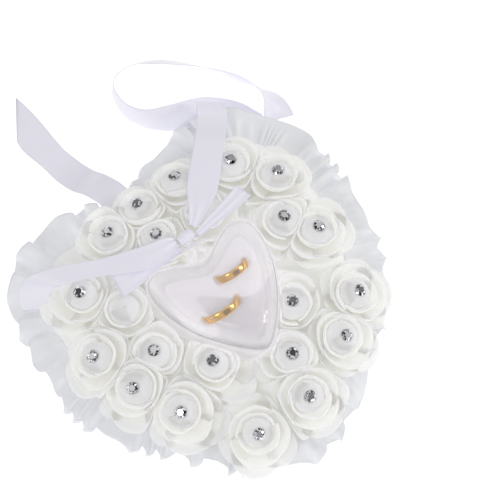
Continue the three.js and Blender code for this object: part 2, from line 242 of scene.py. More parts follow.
cover_satin = satin("cover_satin", (0.93, 0.93, 0.92), (0.91, 0.92, 0.89), glow=0.14)
back_satin = satin("back_satin", (0.80, 0.78, 0.88), (0.76, 0.74, 0.86), roughness=0.38)
pad_satin = satin("pad_satin", (0.93, 0.89, 0.94), (0.90, 0.88, 0.95), roughness=0.36, glow=0.15)
ruffle_satin = satin("ruffle_satin", (0.88, 0.89, 0.91), (0.84, 0.85, 0.89), roughness=0.36)
ribbon_satin = satin("ribbon_satin", (0.88, 0.87, 0.95), (0.85, 0.84, 0.94), roughness=0.34)
print("satins made: cover, back, pad, ruffle, ribbon")

# %% [markdown]
# The petals are cut from thin foam sheet, which is matt and lets light through, so it scatters
# light inside; a weak painted glow, emission on the foam, also lightens its shade. Deep between
# the petals the colour carries painted shade, darker and faintly yellow, and the rims carry a
# painted highlight and are the whitest. The mesh carries how high each point is in the flower,
# so the painted shade and highlight follow the petal and not the space around it.

# %% Petal foam
def petal_foam():
    material, tree, shader = start_finish("rose_foam", (0.90, 0.90, 0.87), 0.62)
    height = add(tree, "ShaderNodeAttribute", attribute_name="petal_height")
    # Painted shade and highlight: the colour runs from faint yellow deep in the flower to the
    # whitest at the rims.
    painted_light_ramp = add(tree, "ShaderNodeValToRGB")
    painted_light_ramp.color_ramp.elements[0].position = 0.25
    painted_light_ramp.color_ramp.elements[0].color = (0.94, 0.94, 0.88, 1)
    painted_light_ramp.color_ramp.elements[1].position = 0.60
    painted_light_ramp.color_ramp.elements[1].color = (0.95, 0.95, 0.94, 1)
    rim = painted_light_ramp.color_ramp.elements.new(0.97)
    rim.color = (0.97, 0.97, 0.965, 1)
    tree.links.new(height.outputs["Fac"], painted_light_ramp.inputs["Fac"])
    tree.links.new(painted_light_ramp.outputs["Color"], shader.inputs["Base Color"])
    pores = texture(tree, "ShaderNodeTexNoise", Scale=1800.0, Detail=2.0)
    creases = texture(tree, "ShaderNodeTexNoise", Scale=160.0, Detail=3.0)
    both = add(tree, "ShaderNodeMath", operation="MULTIPLY_ADD")
    both.inputs[1].default_value = 0.35
    tree.links.new(pores.outputs[0], both.inputs[0])
    tree.links.new(creases.outputs[0], both.inputs[2])
    add_bump(tree, shader, both.outputs[0], 0.25, 0.3 * MM)
    shader.inputs["Subsurface Weight"].default_value = 0.7
    shader.inputs["Subsurface Radius"].default_value = (1.0, 1.0, 0.75)
    shader.inputs["Subsurface Scale"].default_value = 6 * MM
    shader.inputs["Specular IOR Level"].default_value = 0.3
    # Painted glow: emission that lightens the foam's shade.
    shader.inputs["Emission Color"].default_value = (1.0, 0.985, 0.95, 1)
    shader.inputs["Emission Strength"].default_value = 0.085
    return material


rose_foam = petal_foam()


def plain_foam():
    material, tree, shader = start_finish("cushion_foam", (0.88, 0.86, 0.76), 0.95)
    cells = texture(tree, "ShaderNodeTexVoronoi", Scale=900.0)
    add_bump(tree, shader, cells.outputs["Distance"], 0.6, 0.4 * MM)
    tint = blend_colors(tree, cells.outputs["Distance"], (0.90, 0.88, 0.79), (0.80, 0.77, 0.66))
    tree.links.new(tint, shader.inputs["Base Color"])
    return material


def grey_card():
    material, tree, shader = start_finish("card", (0.72, 0.68, 0.60), 0.9)
    fibres = texture(tree, "ShaderNodeTexNoise", Scale=700.0, Detail=6.0)
    tint = blend_colors(tree, fibres.outputs[0], (0.62, 0.58, 0.50), (0.80, 0.76, 0.68))
    tree.links.new(tint, shader.inputs["Base Color"])
    return material


cushion_foam = plain_foam()
card = grey_card()
print("foams and card made")

# %% [markdown]
# The bands are polished gold. Polishing leaves hair-thin scratches that run round the band, which
# spread the mirrored light a little. The stones are glass with a mirror foil behind, whose cut
# faces send back different pieces of the room; each face of the mesh carries a painted reflection,
# a tone from white to nearly black picked at random.

# %% Gold and stones
def polished_gold():
    material, tree, shader = start_finish("gold", (0.93, 0.60, 0.20), 0.14)
    scratches = texture(tree, "ShaderNodeTexNoise", Scale=260.0, Detail=5.0)
    rough = add(tree, "ShaderNodeMapRange", To_Min=0.08, To_Max=0.24)
    tree.links.new(scratches.outputs[0], rough.inputs["Value"])
    tree.links.new(rough.outputs[0], shader.inputs["Roughness"])
    tint = blend_colors(tree, scratches.outputs[0], (0.95, 0.60, 0.18), (0.78, 0.42, 0.09))
    tree.links.new(tint, shader.inputs["Base Color"])
    shader.inputs["Metallic"].default_value = 1.0
    return material


def cut_stone():
    material, tree, shader = start_finish("rhinestone", (0.8, 0.8, 0.82), 0.05)
    # The base colour is a painted reflection, read from each face's tone.
    reflection_tone = add(tree, "ShaderNodeAttribute", attribute_name="painted_facet_reflection")
    painted_light_ramp = add(tree, "ShaderNodeValToRGB")
    painted_light_ramp.color_ramp.elements[0].position = 0.1
    painted_light_ramp.color_ramp.elements[0].color = (0.015, 0.015, 0.02, 1)
    painted_light_ramp.color_ramp.elements[1].position = 0.85
    painted_light_ramp.color_ramp.elements[1].color = (0.95, 0.95, 0.97, 1)
    grey = painted_light_ramp.color_ramp.elements.new(0.45)
    grey.color = (0.30, 0.30, 0.33, 1)
    tree.links.new(reflection_tone.outputs["Fac"], painted_light_ramp.inputs["Fac"])
    tree.links.new(painted_light_ramp.outputs["Color"], shader.inputs["Base Color"])
    shader.inputs["Metallic"].default_value = 0.75
    shader.inputs["Coat Weight"].default_value = 1.0
    shader.inputs["Coat Roughness"].default_value = 0.02
    return material


gold = polished_gold()
rhinestone = cut_stone()

# %% [markdown]
# The ring box is moulded in clear plastic. Looked at straight, a thin clear wall only shows what
# it mirrors; looked at along its surface it turns milky. How far the surface faces away drives
# how much of the wall shows, so the dome stays clear, and a weak painted glow brightens the milky
# wall. Upright faces near the level where tray and lid meet carry painted shade: a darker colour
# and almost no glow draw the thin line round the box.

# %% Clear plastic
def clear_wall(name, clearest, densest):
    material, tree, shader = start_finish(name, (0.93, 0.91, 0.94), 0.06)
    edge = add(tree, "ShaderNodeLayerWeight", Blend=0.35)
    show = add(tree, "ShaderNodeMapRange", To_Min=clearest, To_Max=densest)
    tree.links.new(edge.outputs["Facing"], show.inputs["Value"])
    # Painted shade: upright faces near the level where tray and lid meet get a dark colour and
    # almost no glow, a dark line round the box.
    where = add(tree, "ShaderNodeTexCoord")
    place = add(tree, "ShaderNodeSeparateXYZ")
    tree.links.new(where.outputs["Object"], place.inputs[0])
    level = (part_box("hinge_pin")[0].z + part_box("hinge_pin")[1].z) / 2
    rim_reach = 1.1 * MM
    near_rim = add(tree, "ShaderNodeMath", operation="COMPARE")
    near_rim.inputs[1].default_value = level
    near_rim.inputs[2].default_value = rim_reach
    tree.links.new(place.outputs["Z"], near_rim.inputs[0])
    upright = add(tree, "ShaderNodeMath", operation="GREATER_THAN")
    upright.inputs[1].default_value = 0.55
    tree.links.new(edge.outputs["Facing"], upright.inputs[0])
    rim = add(tree, "ShaderNodeMath", operation="MULTIPLY")
    tree.links.new(near_rim.outputs[0], rim.inputs[0])
    tree.links.new(upright.outputs[0], rim.inputs[1])
    tree.links.new(blend_colors(tree, rim.outputs[0], (0.93, 0.91, 0.94), (0.42, 0.40, 0.41)),
                   shader.inputs["Base Color"])
    tree.links.new(blend_colors(tree, rim.outputs[0], (0.95, 0.93, 0.96), (0.05, 0.05, 0.05)),
                   shader.inputs["Emission Color"])
    tree.links.new(show.outputs[0], shader.inputs["Alpha"])
    flow = texture(tree, "ShaderNodeTexNoise", Scale=90.0, Detail=1.0)
    add_bump(tree, shader, flow.outputs[0], 0.08, 0.4 * MM)
    # Painted glow: emission that brightens the milky haze of the wall.
    shader.inputs["Emission Strength"].default_value = 0.26
    shader.inputs["Specular IOR Level"].default_value = 1.0
    shader.inputs["Coat Weight"].default_value = 1.0
    shader.inputs["Coat Roughness"].default_value = 0.03
    return material


clear_plastic = clear_wall("clear_plastic", 0.06, 0.50)
pin_plastic = start_finish("pin_plastic", (0.82, 0.82, 0.85), 0.25)[0]
print("hard finishes made: gold, stones, clear plastic, pin")

# %% [markdown]
# ## The heart outline
# The cushion, its back, the frill and the ring box are all hearts of one family, so one formula
# draws them: a rounded diamond whose upper half is lifted by the distance from the middle line.
# The points are spread evenly along the outline, so that walls and gathers come out regular.

# %% Heart outline
def heart(width, length, y, full, lobes, steps, grow=0.0, share=1.0, rounding=0.13):
    """Even points (x, y) round a heart, from the cleft, grown outwards and then scaled."""
    t = np.linspace(0, 2 * math.pi, 1441)
    x = np.sign(np.sin(t)) * np.abs(np.sin(t)) ** (2 / full)
    up = np.sign(np.cos(t)) * np.abs(np.cos(t)) ** (2 / full) + lobes * np.hypot(x, rounding)
    up = (up - (up.max() + up.min()) / 2) * length / (up.max() - up.min())
    line = np.column_stack((x * width / 2, up))
    run = np.concatenate(([0], np.cumsum(np.hypot(*np.diff(line, axis=0).T))))
    even = np.linspace(0, run[-1], steps, endpoint=False)
    points = np.column_stack([np.interp(even, run, line[:, k]) for k in (0, 1)])
    along = np.roll(points, -1, axis=0) - np.roll(points, 1, axis=0)
    along /= np.linalg.norm(along, axis=1)[:, None]
    out = np.column_stack((-along[:, 1], along[:, 0]))
    return (points + out * grow) * share + (0, y)


def pillow_heart(steps, grow=0.0, share=1.0):
    return heart(150 * MM, 143 * MM, -1.5 * MM, 2.4, 0.56, steps, grow, share)


def box_heart(steps, grow=0.0, share=1.0):
    return heart(63 * MM, 63 * MM, -8 * MM, 2.2, 1.0, steps, grow, share)


# %% [markdown]
# Every new piece ends the same way: its bmesh becomes an object at the origin, gets its finish,
# rides on a body of the frame and hides the CAD parts it stands for.

# %% Helpers that finish a piece
def shade(mesh, smooth=True):
    mesh.polygons.foreach_set("use_smooth", [smooth] * len(mesh.polygons))


def finish_piece(name, bm, material, stands_for, body="pillow", smooth=True):
    mesh = bpy.data.meshes.new(name)
    bm.to_mesh(mesh)
    bm.free()
    shade(mesh, smooth)
    piece = bpy.data.objects.new(name, mesh)
    bpy.context.scene.collection.objects.link(piece)
    mesh.materials.append(material)
    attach(piece, body)
    if stands_for:
        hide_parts(*stands_for)
    return piece


def thicken(piece, thickness, offset=-1.0):
    wall = piece.modifiers.new("thickness", "SOLIDIFY")
    wall.thickness = thickness
    wall.offset = offset
    wall.use_even_offset = False


def melt(piece, voxel):
    """Remeshes a piece into even faces; its facets melt together."""
    remesh = piece.modifiers.new("even", "REMESH")
    remesh.mode = "VOXEL"
    remesh.voxel_size = voxel
    return remesh


def round_off(piece, levels=1):
    soften = piece.modifiers.new("smooth", "SUBSURF")
    soften.levels = levels
    soften.render_levels = levels


def ring_of(bm, points, z):
    """A closed ring of edges through points at one height."""
    verts = [bm.verts.new((x, y, z)) for x, y in points]
    return [bm.edges.new((a, b)) for a, b in zip(verts, verts[1:] + verts[:1])]


def skin(bm, rings, cap_first=True, cap_last=True):
    """Faces between rings that follow each other, with the ends closed."""
    for lower, upper in zip(rings, rings[1:]):
        bmesh.ops.bridge_loops(bm, edges=lower + upper)
    for wanted, ring in ((cap_first, rings[0]), (cap_last, rings[-1])):
        if wanted:
            bmesh.ops.edgeloop_fill(bm, edges=ring)
    bmesh.ops.recalc_face_normals(bm, faces=bm.faces)


def cloth(along, across, shape, closed=False):
    """A flat grid bent by shape(u, v), with u along and v across it, both 0 to 1."""
    bm = bmesh.new()
    bm.loops.layers.uv.new("UVMap")
    bmesh.ops.create_grid(bm, x_segments=along, y_segments=across, size=0.5, calc_uvs=True)
    for vert in bm.verts:
        vert.co = shape(vert.co.x + 0.5, vert.co.y + 0.5)
    if closed:
        bmesh.ops.remove_doubles(bm, verts=bm.verts, dist=0.01 * MM)
    return bm


def copy_of(node):
    """The CAD node's mesh in a bmesh, its loose triangles joined."""
    bm = bmesh.new()
    bm.from_mesh(frame["nodes"][node].data)
    bmesh.ops.remove_doubles(bm, verts=bm.verts, dist=0.01 * MM)
    return bm


def apply_modifiers(piece):
    baked = bpy.data.meshes.new_from_object(
        piece.evaluated_get(bpy.context.evaluated_depsgraph_get()))
    piece.modifiers.clear()
    piece.data = baked


def triangles(piece):
    shown = piece.evaluated_get(bpy.context.evaluated_depsgraph_get())
    return sum(len(p.vertices) - 2 for p in shown.data.polygons)


# %% [markdown]
# ## Back
# The flat underside is a heart of card with satin drawn over it and glued inside. The cloth is
# tight, so the shape is a thin slab with a soft edge, and near that edge the satin shows the
# small pleats that taking in its fullness leaves.

# %% Back cover
def back_cover():
    low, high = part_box("back_cover")
    steps = 240
    grow = [-1.6, -0.5, 0, 0, -0.4, -1.0]
    level = [0, 0.15, 0.7, 2.3, 2.8, 3.0]
    bm = bmesh.new()
    rings = [ring_of(bm, pillow_heart(steps, g * MM, 0.93), z * MM) for g, z in zip(grow, level)]
    skin(bm, rings)
    inner = bmesh.ops.inset_region(bm, faces=[f for f in bm.faces if len(f.verts) > 4],
                                   thickness=2.2 * MM)["faces"]
    for face in inner:
        for vert in face.verts:
            if vert.co.z < 1 * MM:
                k = math.atan2(vert.co.y, vert.co.x) * 46
                vert.co.z += 0.12 * MM * (1 + math.sin(k))
    piece = finish_piece("back_satin_cover", bm, back_satin, ["back_cover"])
    print("back", [round(v / MM, 1) for v in high - low], "mm")


back_cover()
frame["nodes"]["back_card"].data.materials.clear()
frame["nodes"]["back_card"].data.materials.append(card)

# %% [markdown]
# ## Cushion
# Under the roses is a foam heart in a sewn satin cover. The cover is a skin through heart-shaped
# rings, remeshed evenly. The foam inside is the CAD block, remeshed so that its edges are
# rounded.

# %% Cushion cover and core
def puff(piece, pressure, frames, most):
    """Inflates a closed piece as cloth, and keeps every point within `most` of where it was."""
    start = np.array([v.co for v in piece.data.vertices])
    cover = piece.modifiers.new("puff", "CLOTH")
    cover.settings.use_pressure = True
    cover.settings.uniform_pressure_force = pressure
    cover.settings.effector_weights.gravity = 0
    cover.settings.quality = 5
    cover.settings.tension_stiffness = 12
    cover.settings.compression_stiffness = 12
    for step in range(1, frames + 1):
        bpy.context.scene.frame_set(step)
    apply_modifiers(piece)
    bpy.context.scene.frame_set(1)
    moved = np.array([v.co for v in piece.data.vertices]) - start
    length = np.linalg.norm(moved, axis=1)
    moved *= np.minimum(1, most / np.maximum(length, 1e-9))[:, None]
    for vert, place in zip(piece.data.vertices, start + moved):
        vert.co = place
    return float(length.max())


def cushion_cover():
    low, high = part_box("cushion_cover")
    steps = 160
    rise = [0, 0.1, 0.24, 0.45, 0.68, 0.88, 0.97, 1]
    share = [0.94, 0.985, 1.0, 0.98, 0.91, 0.79, 0.61, 0.30]
    bm = bmesh.new()
    tall = high.z - low.z
    skin(bm, [ring_of(bm, pillow_heart(steps, 0, s), low.z + up * tall)
              for s, up in zip(share, rise)])
    piece = finish_piece("cushion_satin_cover", bm, cover_satin, ["cushion_cover"])
    melt(piece, 3.5 * MM)
    apply_modifiers(piece)
    swell = puff(piece, pressure=4, frames=20, most=2.2 * MM)
    print("the cover swells by", round(swell / MM, 1), "mm")
    for vert in piece.data.vertices:
        vert.co.z = min(max(vert.co.z, low.z), high.z + 0.2 * MM)
    shade(piece.data)
    round_off(piece)


cushion_cover()


def cushion_core():
    piece = finish_piece("cushion_foam_core", copy_of("cushion_core"), cushion_foam,
                         ["cushion_core"])
    melt(piece, 4 * MM).use_smooth_shade = True
    shrink = piece.modifiers.new("clear_of_cover", "DISPLACE")
    shrink.strength = -1.0 * MM
    shrink.mid_level = 0
    apply_modifiers(piece)


cushion_core()
print("cushion made")

# %% [markdown]
# ## Frill
# The frill is one long strip of satin, cut almost twice as long as the seam, drawn up on a thread
# and sewn round the cushion. Near the seam it lies in many small tight gathers, and these join
# into fewer, larger waves towards the free hem, some of which lean over. The strip is bent by a
# sum of waves with uneven spacing, whose height grows from the seam to the hem, and the hem is
# rolled as a machine leaves it.

# %% Gathered frill
class Wander:
    """A smooth closed random line: a few waves of low whole numbers with random phases."""

    def __init__(self, seed, lowest, highest):
        rnd = random.Random(seed)
        self.waves = [(k, rnd.uniform(0.5, 1.0) / math.sqrt(highest - lowest + 1),
                       rnd.uniform(0, 2 * math.pi)) for k in range(lowest, highest + 1)]

    def __call__(self, u):
        return sum(size * math.sin(2 * math.pi * k * u + phase) for k, size, phase in self.waves)


def frill():
    along, across = 960, 16
    folds, gathers = 31, 92
    reach, seam_height = 16.8 * MM, 8 * MM
    wave_height, gather_height, lean_reach = 5.6 * MM, 0.7 * MM, 1.4 * MM
    seam_step, hem_start, floor_gap = 0.5 * MM, 0.93, 0.55 * MM
    sewn_in = 2.4 * MM
    seam = np.vstack([pillow_heart(along, -sewn_in), pillow_heart(along, -sewn_in)[:1]])
    hem = np.vstack([pillow_heart(along, reach), pillow_heart(along, reach)[:1]])
    spacing, size, droop = Wander(4, 3, 14), Wander(9, 2, 9), Wander(15, 2, 6)
    small = Wander(21, 5, 30)

    def shape(u, v):
        wave = 2 * math.pi * (folds * u + 0.85 * spacing(u))
        gather = 2 * math.pi * (gathers * u + 0.7 * small(u))
        open_out = v ** 1.15
        tall = (1 + 0.6 * size(u)) * wave_height * open_out
        tight = gather_height * math.sin(math.pi * min(1, 0.12 + v)) * (1 - v) ** 0.7
        lean = -lean_reach * open_out * math.sin(2 * wave + 0.6) * (0.7 + 0.5 * size(u))
        k = (u * along + lean / seam_step) % along
        a = int(k)
        share = k - a
        root = Vector((*(seam[a] * (1 - share) + seam[a + 1] * share), 0))
        edge = Vector((*(hem[a] * (1 - share) + hem[a + 1] * share), 0))
        out = (edge - root).normalized()
        length = v * (1 + 0.14 * droop(u) * v + 0.10 * v * math.cos(wave + 0.5))
        place = root + (edge - root) * length
        arch = 2.2 * MM * math.sin(math.pi * v * 0.9)
        z = seam_height + arch + tall * math.sin(wave) + tight * math.sin(gather)
        z -= 1.6 * MM * v * v * (1 + droop(u))
        roll = max(0.0, (v - hem_start) / (1 - hem_start))
        z += 0.55 * MM * math.sin(roll * 1.6 * math.pi)
        place -= out * 0.5 * MM * (1 - math.cos(roll * 0.9 * math.pi))
        place.z = max(z, floor_gap)
        return place

    bm = cloth(along, across, shape, closed=True)
    bmesh.ops.recalc_face_normals(bm, faces=bm.faces)
    area = sum(f.calc_area() for f in bm.faces)
    piece = finish_piece("gathered_frill", bm, ruffle_satin, ["ruffle"])
    thicken(piece, 0.3 * MM, 0)


frill()

# %% [markdown]
# ## Roses
# Each rose is a closed bud with a stone pressed into its top and three rows of petals, each set
# a little off centre: two that hug the bud, three in the middle, and five that open and curl over
# at the rim. A petal is a small grid bent onto a cup: its
# angle runs round the flower, its radius follows a foot, a belly and a rim, and its sides are
# cut lower so that its outline is round. One side of each petal tucks under the next. The CAD
# solid says where each rose stands and how far it leans: its points are even round its axis, so
# their spread finds the axis.

# %% Where a rose stands
def axis_of(node):
    """The points of a CAD solid that is even round an axis, their middle and that axis."""
    points = np.array([v.co for v in frame["nodes"][node].data.vertices])
    middle = points.mean(axis=0)
    axes = np.linalg.eigh(np.cov((points - middle).T))[1].T
    axis = max(axes, key=lambda a: abs(a[2]))
    return points, middle, axis * math.copysign(1, axis[2])


def stand_of(node):
    """Foot, axis and height of a CAD rose."""
    points, middle, axis = axis_of(node)
    along = (points - middle) @ axis
    foot = middle + axis * along.min()
    return Vector(foot), Vector(axis), float(np.ptp(along))


wall = box_heart(240, 0.9 * MM)
stands = {k: stand_of(f"rose_{k:02d}") for k in range(1, 23)}


NEIGHBOUR = 34 * MM  # roses further apart than this never touch
FREE_SHARE = 0.72  # of half the way to the next rose; beyond it a petal is pressed flat


def pressed(place, number):
    """Where a petal's point goes when the neighbouring roses press against it."""
    foot = stands[number][0]
    for other, (there, *_) in stands.items():
        between = Vector((there.x - foot.x, there.y - foot.y, 0))
        if other == number or between.length > NEIGHBOUR:
            continue
        towards = between.normalized()
        limit = between.length / 2 - 0.2 * MM
        reach = (place - foot).dot(towards)
        if reach > FREE_SHARE * limit:
            rest = 1 - FREE_SHARE
            kept = limit * (FREE_SHARE + rest * math.tanh((reach / limit - FREE_SHARE) / rest))
            place = place - towards * (reach - kept)
    return place


def clear_of_box(place):
    """Moves a point of a petal out of the ring box, to just outside its wall."""
    x, y = place.x, place.y
    rel = wall - (x, y)
    near = int(np.argmin((rel ** 2).sum(axis=1)))
    along = wall[(near + 1) % len(wall)] - wall[near - 1]
    out = Vector((-along[1], along[0], 0)).normalized()
    depth = (place - Vector((*wall[near], place.z))).dot(out)
    deepest = 12 * MM
    if depth < 0 and -depth < deepest:
        return place - out * depth
    return place


# %% Petals
def petal(bm, size, tall, turn, half, foot, belly, rim, low, high, curl, tuck, rnd):
    """One cupped petal, in its rose's own place; radii and heights are shares of the rose's."""
    made = bmesh.ops.create_grid(bm, x_segments=10, y_segments=7, size=0.5)["verts"]
    height = bm.verts.layers.float.get("petal_height")
    phase = rnd.uniform(0, 6.28)
    wavy = rnd.uniform(0.015, 0.04)
    for vert in made:
        u, t = vert.co.x * 2, vert.co.y + 0.5
        s = t * (1 - 0.40 * abs(u) ** 2.8)
        swell = math.sin(min(s / 0.62, 1) * math.pi / 2)
        radius = foot + (belly - foot) * swell
        radius += (rim - belly) * max(0.0, (s - 0.55) / 0.45) ** 1.7
        radius += tuck * u * (0.4 + 0.6 * s) + wavy * s * math.sin(2.6 * u * half * 2 + phase)
        z = low + (high - low) * math.sin(s * math.pi / 2) ** 1.15
        z -= curl * max(0.0, (s - 0.78) / 0.22) ** 2
        angle = turn + u * half
        vert.co = (radius * size * math.cos(angle), radius * size * math.sin(angle), z * tall)
        # This height also sets the painted shade and highlight of the foam.
        vert[height] = s * 0.55 + 0.45 * z


BLOOM = 13.5 * MM
ROWS = [
    # count, half width, foot, belly, rim, low, high, curl, tuck, off centre
    (2, 98, 0.16, 0.74, 0.78, 0.14, 0.92, 0.02, 0.060, 0.05),
    (3, 72, 0.22, 1.00, 1.16, 0.08, 0.72, 0.06, 0.060, 0.12),
    (5, 50, 0.28, 1.22, 1.58, 0.00, 0.36, 0.05, 0.050, 0.16),
]


def bud(bm, size, tall, turn, mouth):
    """The rolled middle: one strip that goes 1.3 times round and closes in towards the stone."""
    made = bmesh.ops.create_grid(bm, x_segments=44, y_segments=10, size=0.5)["verts"]
    height = bm.verts.layers.float.get("petal_height")
    belly, turns, widest = 0.52, 1.3, 0.45
    closing = math.acos(mouth / belly)
    for vert in made:
        u, t = vert.co.x + 0.5, vert.co.y + 0.5
        if t < widest:
            radius = 0.2 + (belly - 0.2) * math.sin(t / widest * math.pi / 2)
            z = 0.12 + 0.50 * t / widest
        else:
            b = (t - widest) / (1 - widest) * closing
            radius = belly * math.cos(b)
            z = 0.62 + 0.36 * math.sin(b) / math.sin(closing)
        radius += 0.05 * (turns * u) ** 1.5 * math.sin(math.pi * min(1, t * 0.8 + 0.2))
        z -= 0.05 * u * t
        angle = turn + u * turns * 2 * math.pi
        vert.co = (radius * size * math.cos(angle), radius * size * math.sin(angle), z * tall)
        # This height also sets the painted shade and highlight of the foam.
        vert[height] = 0.35 + 0.6 * z


def rose(name, number):
    foot, axis, tall = stands[number]
    rnd = random.Random(300 + number)
    bm = bmesh.new()
    bm.verts.layers.float.new("petal_height")
    turn = rnd.uniform(0, 6.28)
    has_stone = f"rhinestone_{number:02d}" in frame["nodes"]
    bud(bm, BLOOM * rnd.uniform(0.95, 1.04), tall, turn, 0.205 if has_stone else 0.02)
    for count, half, foot_r, belly, rim, low, high, curl, tuck, off in ROWS:
        away = rnd.uniform(0, 2 * math.pi)
        first = len(bm.verts)
        for k in range(count):
            angle = turn + (k + rnd.uniform(-0.08, 0.08)) * 2 * math.pi / count
            grow = rnd.uniform(0.95, 1.05)
            petal(bm, BLOOM * grow, tall, angle, math.radians(half * rnd.uniform(0.92, 1.1)),
                  foot_r, belly, rim, low, high * rnd.uniform(0.95, 1.0), curl, tuck, rnd)
        turn += math.pi / count + rnd.uniform(-0.3, 0.3)
        bm.verts.ensure_lookup_table()
        bmesh.ops.translate(bm, verts=bm.verts[first:], vec=(
            off * BLOOM * math.cos(away), off * BLOOM * math.sin(away), 0))
    lean = Vector((0, 0, 1)).rotation_difference(axis).to_matrix().to_4x4()
    bmesh.ops.transform(bm, matrix=Matrix.Translation(foot) @ lean, verts=bm.verts)
    for vert in bm.verts:
        vert.co = clear_of_box(pressed(vert.co, number))
    piece = finish_piece("foam_" + name, bm, rose_foam, [name])
    thicken(piece, 1.1 * MM, 0)
    round_off(piece)
    return piece


roses = [rose(f"rose_{k:02d}", k) for k in range(1, 23)]
print(len(roses), "roses,", triangles(roses[0]), "triangles in the first")

# %% [markdown]
# ## Stones
# A stone is cut like a small brilliant: a flat table, a crown of slanting faces, a thin girdle
# and a point behind. Rings of points at the right heights and the convex hull operator give
# exactly those flat faces. Each is pressed into the top of its rose.

# %% Cut stones
# radius and depth below the table in mm, corners, turn in degrees
STONE_RINGS = [(1.55, 0, 8, 0), (2.35, 0.55, 8, 22.5), (2.95, 1.15, 16, 0), (2.95, 1.35, 16, 0),
               (1.3, 2.3, 8, 0)]
STONE_DEPTH = 2.8 * MM


def cut_stone_at(node, number):
    points, middle, axis = axis_of(node)
    axis = Vector(axis)
    rnd = random.Random(700 + number)
    bm = bmesh.new()
    top = max((Vector(p) - Vector(middle)).dot(axis) for p in points)
    for radius, down, count, turn in STONE_RINGS:
        for k in range(count):
            a = math.radians(turn + 360 * k / count)
            bm.verts.new((radius * MM * math.cos(a), radius * MM * math.sin(a), -down * MM))
    bm.verts.new((0, 0, -STONE_DEPTH))
    bmesh.ops.convex_hull(bm, input=bm.verts)
    bmesh.ops.dissolve_limit(bm, angle_limit=math.radians(2), verts=bm.verts, edges=bm.edges)
    # Painted reflection: each face gets a random tone from nearly black to white.
    reflection_tone = bm.faces.layers.float.new("painted_facet_reflection")
    for face in bm.faces:
        face[reflection_tone] = rnd.choice((0.02, 0.15, 0.35, 0.55, 0.75, 0.95, 1.0))
    place = Matrix.Translation(Vector(middle) + axis * (top + 0.2 * MM))
    lean = Vector((0, 0, 1)).rotation_difference(axis).to_matrix().to_4x4()
    spin = Matrix.Rotation(rnd.uniform(0, 1), 4, "Z")
    bmesh.ops.transform(bm, matrix=place @ lean @ spin, verts=bm.verts)
    bmesh.ops.recalc_face_normals(bm, faces=bm.faces)
    return finish_piece("cut_" + node, bm, rhinestone, [node], smooth=False)


stones = [cut_stone_at(f"rhinestone_{k:02d}", k) for k in range(1, 23) if k not in (6, 8)]
print(len(stones), "stones")

# %% [markdown]
# ## Ring box
# The box is two thin mouldings: a tray with a flange round its mouth, and a puffy lid that sits
# on that flange. Each is a skin through heart-shaped rings, and the wall's thickness comes from
# Solidify. The lid's rings shrink and rise along a superellipse, which gives the full, pillowy
# dome with a groove running in from the cleft. Three knuckles on a pin make the hinge.

# %% Tray and lid
tray_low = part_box("ring_box_base")[0]
lid_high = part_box("ring_box_lid")[1]
pin_low, pin_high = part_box("hinge_pin")
split = (pin_low.z + pin_high.z) / 2
hinge_y = (pin_low.y + pin_high.y) / 2
box_steps = 200
flange, rim_tall, draft, wall_thick = 1.5 * MM, 1.2 * MM, 3.2 * MM, 1.2 * MM


def knuckle(bm, start, end):
    """A hinge barrel along X with rounded ends; tab() makes the piece that joins it to the flange.
    """
    made = bmesh.ops.create_cone(bm, cap_ends=True, segments=32, radius1=1.85 * MM,
                                 radius2=1.85 * MM, depth=end - start)["verts"]
    bmesh.ops.rotate(bm, verts=made, matrix=Matrix.Rotation(math.pi / 2, 3, "Y"))
    bmesh.ops.translate(bm, verts=made, vec=((start + end) / 2, hinge_y, split))
    caps = [e for e in bm.edges if e.verts[0] in made and len(e.link_faces) == 2
            and any(len(f.verts) > 4 for f in e.link_faces)]
    bmesh.ops.bevel(bm, geom=caps, offset=0.3 * MM, segments=2, profile=0.5, affect="EDGES",
                    material=-1)


def tab(bm, start, end, low, high):
    cleft_y = box_heart(40)[0][1]
    made = bmesh.ops.create_cube(bm, size=1)["verts"]
    bmesh.ops.scale(bm, verts=made, vec=(end - start, hinge_y - cleft_y + 1 * MM, high - low))
    bmesh.ops.translate(bm, verts=made, vec=(
        (start + end) / 2, (hinge_y + cleft_y - 1 * MM) / 2, (low + high) / 2))


def tray():
    bm = bmesh.new()
    level = [(-draft - flange - 1.5 * MM, 0), (-draft - flange - 0.4 * MM, 0.15 * MM),
             (-draft - flange, 0.9 * MM), (-flange, split - rim_tall - tray_low.z),
             (0, split - rim_tall - tray_low.z), (0, split - tray_low.z - 0.15 * MM)]
    skin(bm, [ring_of(bm, box_heart(box_steps, g), tray_low.z + z) for g, z in level],
         cap_last=False)
    piece = finish_piece("clear_tray", bm, clear_plastic, ["ring_box_base"])
    thicken(piece, wall_thick)
    apply_modifiers(piece)
    bm = bmesh.new()
    bm.from_mesh(piece.data)
    for start, end in ((-5.5, -2.6), (2.6, 5.5)):
        tab(bm, start * MM, end * MM, split - rim_tall, split - 0.15 * MM)
        knuckle(bm, start * MM, end * MM)
    bm.to_mesh(piece.data)
    bm.free()
    piece.visible_shadow = False


